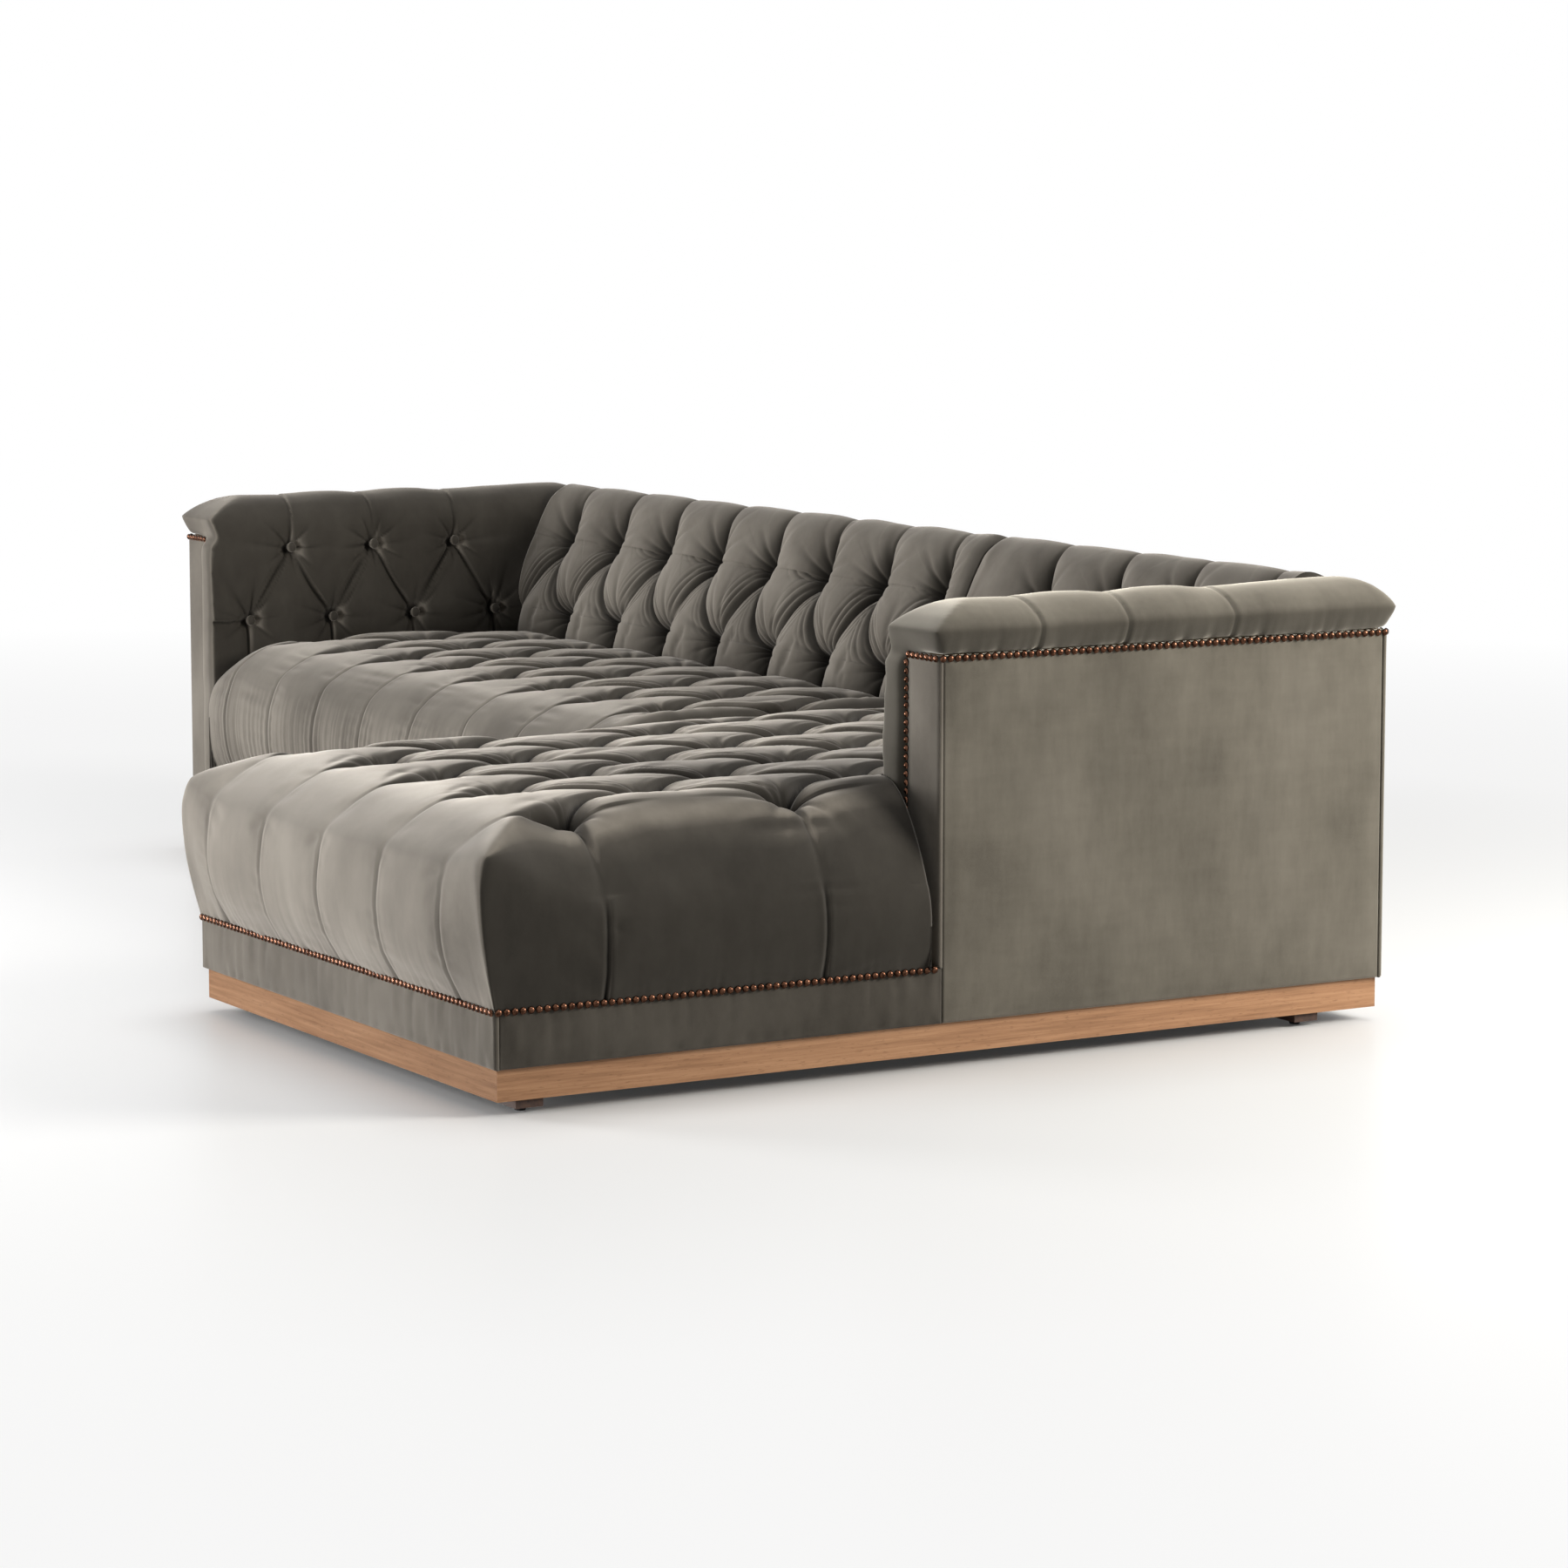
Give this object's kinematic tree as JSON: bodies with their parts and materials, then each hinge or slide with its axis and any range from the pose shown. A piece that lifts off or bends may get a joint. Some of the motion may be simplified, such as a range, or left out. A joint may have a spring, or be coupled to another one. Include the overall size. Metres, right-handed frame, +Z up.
{
  "type": "chaise sectional sofa",
  "caption": "Two-piece sectional sofa with a chaise, deep-buttoned velvet seat, back and low arms, copper nailhead trim and a beech plinth.",
  "frame": {"origin": "centre of the bounding box, on the floor", "axes": "+X to the right seen from the front, along the sofa, with the chaise on that side; +Y to the rear; +Z up"},
  "size_m": [2.845, 1.6498, 0.714],
  "materials": {
    "velvet": "matt pile velvet, warm taupe grey",
    "beech": "satin stained beech",
    "dark_wood": "dark brown stain",
    "frame_wood": "raw sawn timber",
    "webbing": "woven elastic webbing",
    "dust_cloth": "black spun cloth",
    "glide_plastic": "dark nail-on glide",
    "steel": "zinc plated",
    "nailhead": "antique copper, polished highlights"
  },
  "bodies": {
    "sofa_section": {"connector_forks": "steel", "left_arm_board": "frame_wood", "left_arm_facing": "velvet", "left_arm_outside": "velvet", "left_arm_pad": "velvet", "left_arm_post": "frame_wood", "left_arm_top_rail": "frame_wood", "sofa_back_board": "frame_wood", "sofa_back_end_cover": "velvet", "sofa_back_pad": "velvet", "sofa_back_posts": "frame_wood", "sofa_back_top_rail": "frame_wood", "sofa_border_end": "velvet", "sofa_border_front": "velvet", "sofa_braces": "frame_wood", "sofa_buttons": "velvet", "sofa_cross_rails": "frame_wood", "sofa_dust_cover": "dust_cloth", "sofa_feet": "dark_wood", "sofa_glides": "glide_plastic", "sofa_glue_blocks": "frame_wood", "sofa_outside_back": "velvet", "sofa_plinth_front": "beech", "sofa_plinth_left": "beech", "sofa_plinth_rear": "beech", "sofa_plinth_right": "beech", "sofa_seat_pad": "velvet", "sofa_side_rails": "frame_wood", "sofa_webbing": "webbing"},
    "chaise_section": {"chaise_back_board": "frame_wood", "chaise_back_end_cover": "velvet", "chaise_back_pad": "velvet", "chaise_back_posts": "frame_wood", "chaise_back_top_rail": "frame_wood", "chaise_border_end": "velvet", "chaise_border_front": "velvet", "chaise_border_right": "velvet", "chaise_braces": "frame_wood", "chaise_buttons": "velvet", "chaise_cross_rails": "frame_wood", "chaise_dust_cover": "dust_cloth", "chaise_feet": "dark_wood", "chaise_glides": "glide_plastic", "chaise_glue_blocks": "frame_wood", "chaise_outside_back": "velvet", "chaise_plinth_front": "beech", "chaise_plinth_left": "beech", "chaise_plinth_rear": "beech", "chaise_plinth_right": "beech", "chaise_seat_pad": "velvet", "chaise_side_rails": "frame_wood", "chaise_webbing": "webbing", "connector_pins": "steel", "right_arm_board": "frame_wood", "right_arm_facing": "velvet", "right_arm_outside": "velvet", "right_arm_pad": "velvet", "right_arm_post": "frame_wood", "right_arm_top_rail": "frame_wood"}
  },
  "joints": [
    {"name": "chaise_slide", "type": "slide", "parent": "sofa_section", "child": "chaise_section", "axis": [1, 0, 0], "range_m": [0, 0.4]}
  ]
}
